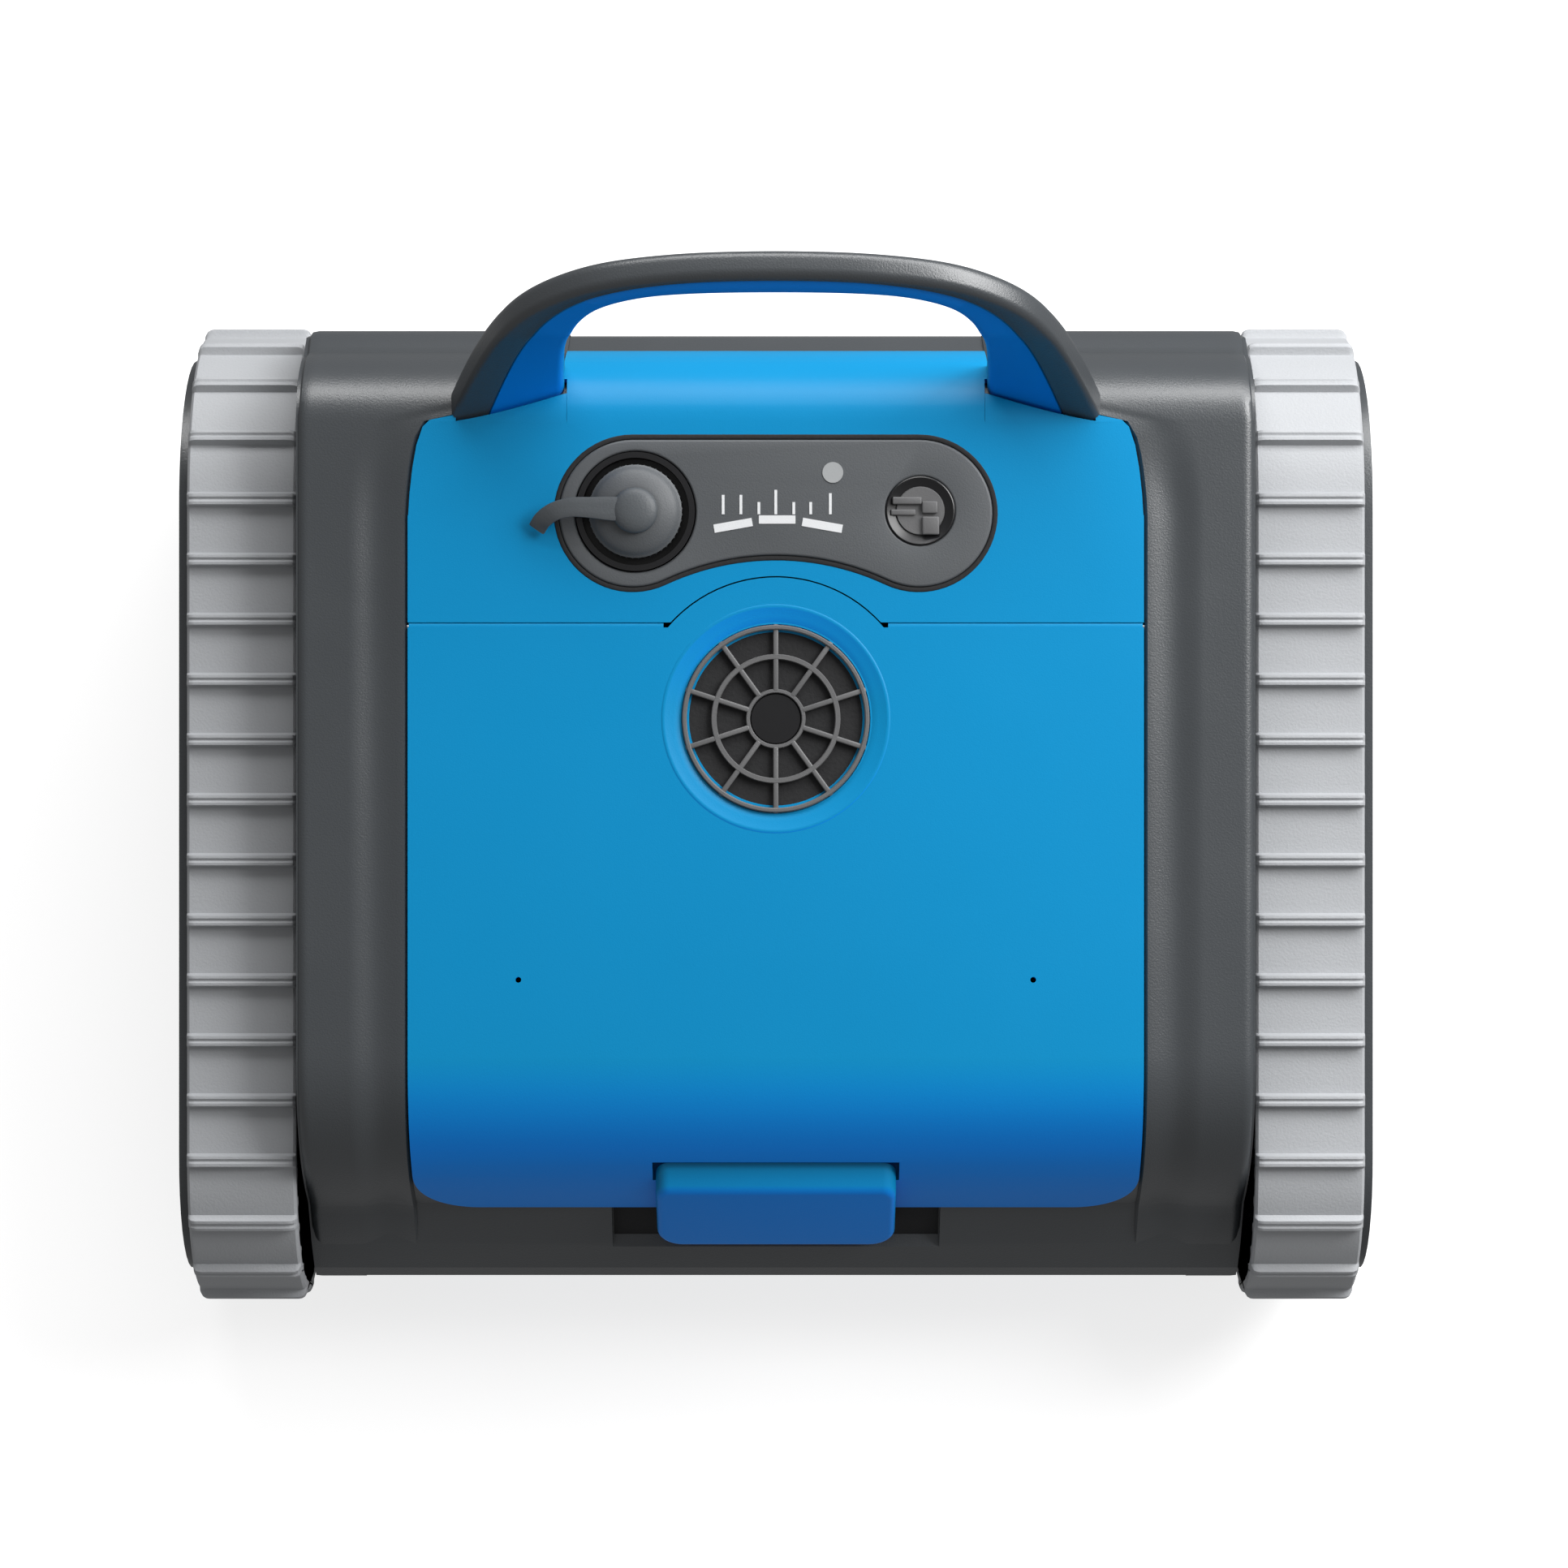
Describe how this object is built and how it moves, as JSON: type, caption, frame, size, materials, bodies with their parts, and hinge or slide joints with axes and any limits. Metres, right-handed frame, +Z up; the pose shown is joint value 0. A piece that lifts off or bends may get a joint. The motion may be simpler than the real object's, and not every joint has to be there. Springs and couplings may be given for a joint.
{
  "type": "pool cleaner",
  "caption": "Cordless robotic pool cleaner on two ribbed belts, with a hinged filter lid, brush rollers, round outlet grille and arched carrying handle.",
  "frame": {"origin": "centre of the bounding box at floor level", "axes": "+X to the right seen from the front latch with the handle away, +Y towards the handle at the rear, +Z up"},
  "size_m": [0.44, 0.3672, 0.2456],
  "materials": {
    "housing_plastic": "fine satin grain",
    "chassis_plastic": "matt",
    "blue_plastic": "satin gloss",
    "panel_plastic": "satin",
    "black_plastic": "gloss",
    "black_rubber": "matt",
    "belt_rubber": "matt",
    "tether_rubber": "satin",
    "grille_plastic": "satin",
    "print_white": "printed",
    "light_lens": "diffusing",
    "steel": "brushed",
    "bronze": "turned",
    "gear_plastic": "smooth",
    "roller_plastic": "matt",
    "brush_rubber": "matt",
    "mesh_fabric": "fine weave",
    "battery_wrap": "film",
    "board": "solder mask",
    "motor_case": "satin"
  },
  "bodies": {
    "body": {"upper_housing": "housing_plastic", "lower_chassis": "chassis_plastic", "rear_cover": "blue_plastic", "control_panel": "panel_plastic", "panel_gasket": "black_rubber", "charge_socket": "black_plastic", "battery_bars": "print_white", "scale_ticks": "print_white", "status_light": "light_lens", "switch_bezel": "black_plastic", "handle_frame": "housing_plastic", "handle_insert": "blue_plastic", "outlet_duct": "black_plastic", "pump_motor": "motor_case", "filter_frame": "chassis_plastic", "filter_mesh": "mesh_fabric", "battery_pack": "battery_wrap", "circuit_board": "board", "sealed_box": "chassis_plastic", "box_cover": "chassis_plastic", "gearmotor_left": "motor_case", "gearmotor_right": "motor_case", "side_plate_left": "housing_plastic", "side_plate_right": "housing_plastic", "track_frame_left": "chassis_plastic", "track_frame_right": "chassis_plastic", "belt_left": "belt_rubber", "belt_right": "belt_rubber", "hub_caps": "panel_plastic", "plate_screws": "steel", "chassis_screws": "steel", "wheel_bushes": "bronze", "lid_hinge_pins": "steel"},
    "lid": {"lid": "blue_plastic", "outlet_grille": "grille_plastic", "lid_seal": "black_rubber", "latch_pin": "steel"},
    "latch": {"latch": "blue_plastic"},
    "drive_wheel_left": {"drive_wheel_left": "roller_plastic", "drive_shaft_left": "steel"},
    "drive_wheel_right": {"drive_wheel_right": "roller_plastic", "drive_shaft_right": "steel", "rear_gear": "gear_plastic"},
    "front_wheel_left": {"front_wheel_left": "roller_plastic", "front_shaft_left": "steel", "front_gear": "gear_plastic"},
    "front_wheel_right": {"front_wheel_right": "roller_plastic", "front_shaft_right": "steel"},
    "front_brush": {"front_brush_core": "roller_plastic", "front_brush_blades": "brush_rubber"},
    "rear_brush": {"rear_brush_core": "roller_plastic", "rear_brush_blades": "brush_rubber"},
    "mid_roller_left": {"mid_roller_left": "roller_plastic"},
    "mid_roller_right": {"mid_roller_right": "roller_plastic"},
    "impeller": {"impeller": "gear_plastic"},
    "cap_swivel": {"cap_tether": "tether_rubber"},
    "charge_cap": {"charge_cap": "panel_plastic"},
    "power_switch": {"power_switch": "black_plastic"},
    "flap_left": {"flap_left": "black_rubber"},
    "flap_right": {"flap_right": "black_rubber"}
  },
  "joints": [
    {"name": "lid_hinge", "type": "hinge", "parent": "body", "child": "lid", "pos_m": [0, 0.05757, 0.15306], "axis": [1, 0, 0], "range_deg": [-54, 0]},
    {"name": "latch_pivot", "type": "hinge", "parent": "lid", "child": "latch", "pos_m": [0, -0.13564, 0.11212], "axis": [1, 0, 0], "range_deg": [-35, 0]},
    {"name": "drive_left", "type": "hinge", "parent": "body", "child": "drive_wheel_left", "pos_m": [0, 0.11373, 0.07], "axis": [1, 0, 0], "continuous": true, "deforming": ["belt_left"]},
    {"name": "drive_right", "type": "hinge", "parent": "body", "child": "drive_wheel_right", "pos_m": [0, 0.11373, 0.07], "axis": [1, 0, 0], "continuous": true, "deforming": ["belt_right"]},
    {"name": "front_wheel_left_spin", "type": "hinge", "parent": "body", "child": "front_wheel_left", "pos_m": [0, -0.12775, 0.05598], "axis": [1, 0, 0], "continuous": true},
    {"name": "front_wheel_right_spin", "type": "hinge", "parent": "body", "child": "front_wheel_right", "pos_m": [0, -0.12775, 0.05598], "axis": [1, 0, 0], "continuous": true},
    {"name": "front_brush_spin", "type": "hinge", "parent": "body", "child": "front_brush", "pos_m": [0, -0.14482, 0.026], "axis": [1, 0, 0], "continuous": true},
    {"name": "rear_brush_spin", "type": "hinge", "parent": "body", "child": "rear_brush", "pos_m": [0, 0.13951, 0.026], "axis": [1, 0, 0], "continuous": true},
    {"name": "mid_roller_left_spin", "type": "hinge", "parent": "body", "child": "mid_roller_left", "pos_m": [0, -0.01402, 0.0225], "axis": [1, 0, 0], "continuous": true},
    {"name": "mid_roller_right_spin", "type": "hinge", "parent": "body", "child": "mid_roller_right", "pos_m": [0, -0.01402, 0.0225], "axis": [1, 0, 0], "continuous": true},
    {"name": "impeller_spin", "type": "hinge", "parent": "body", "child": "impeller", "pos_m": [0, 0.02772, 0.1224], "axis": [0, -0.1157, 0.9933], "continuous": true},
    {"name": "cap_lift", "type": "slide", "parent": "body", "child": "cap_swivel", "axis": [0, -0.1157, 0.9933], "range_m": [0, 0.003], "deforming": ["cap_tether"]},
    {"name": "cap_turn", "type": "hinge", "parent": "cap_swivel", "child": "charge_cap", "pos_m": [-0.0507, 0.09855, 0.16085], "axis": [0, -0.1157, 0.9933], "range_deg": [0, 720]},
    {"name": "power_rocker", "type": "hinge", "parent": "body", "child": "power_switch", "pos_m": [0.0522, 0.09902, 0.1594], "axis": [0, 0.9933, 0.1157], "range_deg": [-16, 0]},
    {"name": "flap_left_swing", "type": "hinge", "parent": "body", "child": "flap_left", "pos_m": [0, -0.04009, 0.0457], "axis": [1, 0, 0], "range_deg": [-70, 0]},
    {"name": "flap_right_swing", "type": "hinge", "parent": "body", "child": "flap_right", "pos_m": [0, -0.04009, 0.0457], "axis": [1, 0, 0], "range_deg": [-70, 0]}
  ],
  "couplings": [
    {"joint": "front_wheel_left_spin", "follows": "drive_left", "ratio": 1.2857},
    {"joint": "front_wheel_right_spin", "follows": "drive_right", "ratio": 1.2857},
    {"joint": "front_brush_spin", "follows": "drive_left", "ratio": -2},
    {"joint": "rear_brush_spin", "follows": "drive_right", "ratio": -2.7778},
    {"joint": "mid_roller_left_spin", "follows": "drive_left", "ratio": 4.709},
    {"joint": "mid_roller_right_spin", "follows": "drive_right", "ratio": 4.709},
    {"joint": "cap_turn", "follows": "cap_lift", "rad_per_m": 4188.8}
  ]
}
